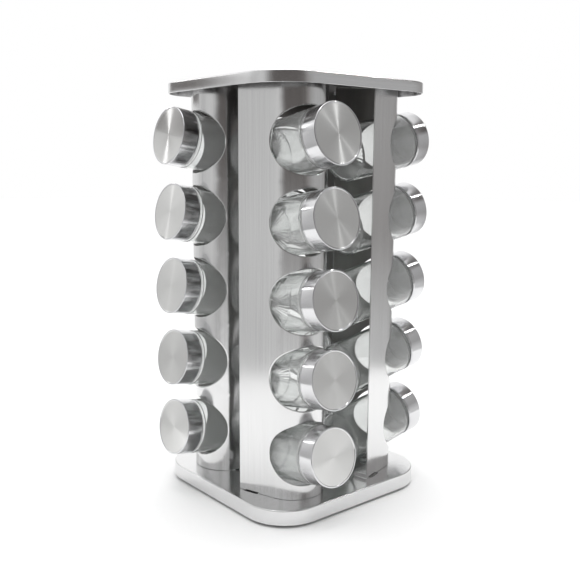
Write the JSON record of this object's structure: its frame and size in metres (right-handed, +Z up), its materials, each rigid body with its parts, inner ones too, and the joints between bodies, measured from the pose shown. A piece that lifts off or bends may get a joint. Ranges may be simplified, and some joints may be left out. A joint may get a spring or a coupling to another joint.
{
  "type": "rotating spice rack",
  "caption": "Square steel tower spice rack on a turntable: sloped glass jars with steel screw caps held in round holes of four bent panels between two rounded plates.",
  "frame": {"origin": "on the surface the feet stand on, on the turning axis", "axes": "+Z up along the turning axis; the front column of jars faces -Y, the right column +X"},
  "size_m": [0.2212, 0.2212, 0.3725],
  "materials": {
    "plate_steel": "satin",
    "panel_steel": "semi-polished, vertical grain",
    "cap_steel": "circular brushed face, polished skirt",
    "jar_glass": "clear, slightly green",
    "bearing_steel": "zinc plated",
    "rubber": "matt"
  },
  "bodies": {
    "stand": {"turntable_lower_plate": "bearing_steel", "pivot_rivet": "bearing_steel", "foot_pad_1": "rubber", "foot_pad_2": "rubber", "foot_pad_3": "rubber", "foot_pad_4": "rubber"},
    "ball_cage": {"ball_cage": "bearing_steel"},
    "carousel": {"base_plate": "plate_steel", "top_plate": "plate_steel", "turntable_upper_plate": "bearing_steel", "turntable_screw_1": "bearing_steel", "turntable_screw_2": "bearing_steel", "turntable_screw_3": "bearing_steel", "turntable_screw_4": "bearing_steel", "panel_front": "panel_steel", "panel_right": "panel_steel", "panel_back": "panel_steel", "panel_left": "panel_steel"},
    "jar_front_1": {"jar_front_1": "jar_glass"},
    "cap_front_1": {"cap_front_1": "cap_steel"},
    "jar_front_2": {"jar_front_2": "jar_glass"},
    "cap_front_2": {"cap_front_2": "cap_steel"},
    "jar_front_3": {"jar_front_3": "jar_glass"},
    "cap_front_3": {"cap_front_3": "cap_steel"},
    "jar_front_4": {"jar_front_4": "jar_glass"},
    "cap_front_4": {"cap_front_4": "cap_steel"},
    "jar_front_5": {"jar_front_5": "jar_glass"},
    "cap_front_5": {"cap_front_5": "cap_steel"},
    "jar_right_1": {"jar_right_1": "jar_glass"},
    "cap_right_1": {"cap_right_1": "cap_steel"},
    "jar_right_2": {"jar_right_2": "jar_glass"},
    "cap_right_2": {"cap_right_2": "cap_steel"},
    "jar_right_3": {"jar_right_3": "jar_glass"},
    "cap_right_3": {"cap_right_3": "cap_steel"},
    "jar_right_4": {"jar_right_4": "jar_glass"},
    "cap_right_4": {"cap_right_4": "cap_steel"},
    "jar_right_5": {"jar_right_5": "jar_glass"},
    "cap_right_5": {"cap_right_5": "cap_steel"},
    "jar_back_1": {"jar_back_1": "jar_glass"},
    "cap_back_1": {"cap_back_1": "cap_steel"},
    "jar_back_2": {"jar_back_2": "jar_glass"},
    "cap_back_2": {"cap_back_2": "cap_steel"},
    "jar_back_3": {"jar_back_3": "jar_glass"},
    "cap_back_3": {"cap_back_3": "cap_steel"},
    "jar_back_4": {"jar_back_4": "jar_glass"},
    "cap_back_4": {"cap_back_4": "cap_steel"},
    "jar_back_5": {"jar_back_5": "jar_glass"},
    "cap_back_5": {"cap_back_5": "cap_steel"},
    "jar_left_1": {"jar_left_1": "jar_glass"},
    "cap_left_1": {"cap_left_1": "cap_steel"},
    "jar_left_2": {"jar_left_2": "jar_glass"},
    "cap_left_2": {"cap_left_2": "cap_steel"},
    "jar_left_3": {"jar_left_3": "jar_glass"},
    "cap_left_3": {"cap_left_3": "cap_steel"},
    "jar_left_4": {"jar_left_4": "jar_glass"},
    "cap_left_4": {"cap_left_4": "cap_steel"},
    "jar_left_5": {"jar_left_5": "jar_glass"},
    "cap_left_5": {"cap_left_5": "cap_steel"}
  },
  "joints": [
    {"name": "carousel_spin", "type": "hinge", "parent": "stand", "child": "carousel", "pos_m": [0, 0, 0], "axis": [0, 0, 1], "continuous": true},
    {"name": "ball_cage_spin", "type": "hinge", "parent": "stand", "child": "ball_cage", "pos_m": [0, 0, 0], "axis": [0, 0, 1], "continuous": true},
    {"name": "jar_front_1_slide", "type": "slide", "parent": "carousel", "child": "jar_front_1", "axis": [0, -0.9848, 0.1736], "range_m": [0, 0.09]},
    {"name": "cap_front_1_lift", "type": "slide", "parent": "jar_front_1", "child": "cap_front_1", "axis": [0, -0.9848, 0.1736], "range_m": [0, 0.02]},
    {"name": "jar_front_2_slide", "type": "slide", "parent": "carousel", "child": "jar_front_2", "axis": [0, -0.9848, 0.1736], "range_m": [0, 0.09]},
    {"name": "cap_front_2_lift", "type": "slide", "parent": "jar_front_2", "child": "cap_front_2", "axis": [0, -0.9848, 0.1736], "range_m": [0, 0.02]},
    {"name": "jar_front_3_slide", "type": "slide", "parent": "carousel", "child": "jar_front_3", "axis": [0, -0.9848, 0.1736], "range_m": [0, 0.09]},
    {"name": "cap_front_3_lift", "type": "slide", "parent": "jar_front_3", "child": "cap_front_3", "axis": [0, -0.9848, 0.1736], "range_m": [0, 0.02]},
    {"name": "jar_front_4_slide", "type": "slide", "parent": "carousel", "child": "jar_front_4", "axis": [0, -0.9848, 0.1736], "range_m": [0, 0.09]},
    {"name": "cap_front_4_lift", "type": "slide", "parent": "jar_front_4", "child": "cap_front_4", "axis": [0, -0.9848, 0.1736], "range_m": [0, 0.02]},
    {"name": "jar_front_5_slide", "type": "slide", "parent": "carousel", "child": "jar_front_5", "axis": [0, -0.9848, 0.1736], "range_m": [0, 0.09]},
    {"name": "cap_front_5_lift", "type": "slide", "parent": "jar_front_5", "child": "cap_front_5", "axis": [0, -0.9848, 0.1736], "range_m": [0, 0.02]},
    {"name": "jar_right_1_slide", "type": "slide", "parent": "carousel", "child": "jar_right_1", "axis": [0.9848, 0, 0.1736], "range_m": [0, 0.09]},
    {"name": "cap_right_1_lift", "type": "slide", "parent": "jar_right_1", "child": "cap_right_1", "axis": [0.9848, 0, 0.1736], "range_m": [0, 0.02]},
    {"name": "jar_right_2_slide", "type": "slide", "parent": "carousel", "child": "jar_right_2", "axis": [0.9848, 0, 0.1736], "range_m": [0, 0.09]},
    {"name": "cap_right_2_lift", "type": "slide", "parent": "jar_right_2", "child": "cap_right_2", "axis": [0.9848, 0, 0.1736], "range_m": [0, 0.02]},
    {"name": "jar_right_3_slide", "type": "slide", "parent": "carousel", "child": "jar_right_3", "axis": [0.9848, 0, 0.1736], "range_m": [0, 0.09]},
    {"name": "cap_right_3_lift", "type": "slide", "parent": "jar_right_3", "child": "cap_right_3", "axis": [0.9848, 0, 0.1736], "range_m": [0, 0.02]},
    {"name": "jar_right_4_slide", "type": "slide", "parent": "carousel", "child": "jar_right_4", "axis": [0.9848, 0, 0.1736], "range_m": [0, 0.09]},
    {"name": "cap_right_4_lift", "type": "slide", "parent": "jar_right_4", "child": "cap_right_4", "axis": [0.9848, 0, 0.1736], "range_m": [0, 0.02]},
    {"name": "jar_right_5_slide", "type": "slide", "parent": "carousel", "child": "jar_right_5", "axis": [0.9848, 0, 0.1736], "range_m": [0, 0.09]},
    {"name": "cap_right_5_lift", "type": "slide", "parent": "jar_right_5", "child": "cap_right_5", "axis": [0.9848, 0, 0.1736], "range_m": [0, 0.02]},
    {"name": "jar_back_1_slide", "type": "slide", "parent": "carousel", "child": "jar_back_1", "axis": [0, 0.9848, 0.1736], "range_m": [0, 0.09]},
    {"name": "cap_back_1_lift", "type": "slide", "parent": "jar_back_1", "child": "cap_back_1", "axis": [0, 0.9848, 0.1736], "range_m": [0, 0.02]},
    {"name": "jar_back_2_slide", "type": "slide", "parent": "carousel", "child": "jar_back_2", "axis": [0, 0.9848, 0.1736], "range_m": [0, 0.09]},
    {"name": "cap_back_2_lift", "type": "slide", "parent": "jar_back_2", "child": "cap_back_2", "axis": [0, 0.9848, 0.1736], "range_m": [0, 0.02]},
    {"name": "jar_back_3_slide", "type": "slide", "parent": "carousel", "child": "jar_back_3", "axis": [0, 0.9848, 0.1736], "range_m": [0, 0.09]},
    {"name": "cap_back_3_lift", "type": "slide", "parent": "jar_back_3", "child": "cap_back_3", "axis": [0, 0.9848, 0.1736], "range_m": [0, 0.02]},
    {"name": "jar_back_4_slide", "type": "slide", "parent": "carousel", "child": "jar_back_4", "axis": [0, 0.9848, 0.1736], "range_m": [0, 0.09]},
    {"name": "cap_back_4_lift", "type": "slide", "parent": "jar_back_4", "child": "cap_back_4", "axis": [0, 0.9848, 0.1736], "range_m": [0, 0.02]},
    {"name": "jar_back_5_slide", "type": "slide", "parent": "carousel", "child": "jar_back_5", "axis": [0, 0.9848, 0.1736], "range_m": [0, 0.09]},
    {"name": "cap_back_5_lift", "type": "slide", "parent": "jar_back_5", "child": "cap_back_5", "axis": [0, 0.9848, 0.1736], "range_m": [0, 0.02]},
    {"name": "jar_left_1_slide", "type": "slide", "parent": "carousel", "child": "jar_left_1", "axis": [-0.9848, 0, 0.1736], "range_m": [0, 0.09]},
    {"name": "cap_left_1_lift", "type": "slide", "parent": "jar_left_1", "child": "cap_left_1", "axis": [-0.9848, 0, 0.1736], "range_m": [0, 0.02]},
    {"name": "jar_left_2_slide", "type": "slide", "parent": "carousel", "child": "jar_left_2", "axis": [-0.9848, 0, 0.1736], "range_m": [0, 0.09]},
    {"name": "cap_left_2_lift", "type": "slide", "parent": "jar_left_2", "child": "cap_left_2", "axis": [-0.9848, 0, 0.1736], "range_m": [0, 0.02]},
    {"name": "jar_left_3_slide", "type": "slide", "parent": "carousel", "child": "jar_left_3", "axis": [-0.9848, 0, 0.1736], "range_m": [0, 0.09]},
    {"name": "cap_left_3_lift", "type": "slide", "parent": "jar_left_3", "child": "cap_left_3", "axis": [-0.9848, 0, 0.1736], "range_m": [0, 0.02]},
    {"name": "jar_left_4_slide", "type": "slide", "parent": "carousel", "child": "jar_left_4", "axis": [-0.9848, 0, 0.1736], "range_m": [0, 0.09]},
    {"name": "cap_left_4_lift", "type": "slide", "parent": "jar_left_4", "child": "cap_left_4", "axis": [-0.9848, 0, 0.1736], "range_m": [0, 0.02]},
    {"name": "jar_left_5_slide", "type": "slide", "parent": "carousel", "child": "jar_left_5", "axis": [-0.9848, 0, 0.1736], "range_m": [0, 0.09]},
    {"name": "cap_left_5_lift", "type": "slide", "parent": "jar_left_5", "child": "cap_left_5", "axis": [-0.9848, 0, 0.1736], "range_m": [0, 0.02]}
  ],
  "couplings": [
    {"joint": "ball_cage_spin", "follows": "carousel_spin", "ratio": 0.5}
  ]
}
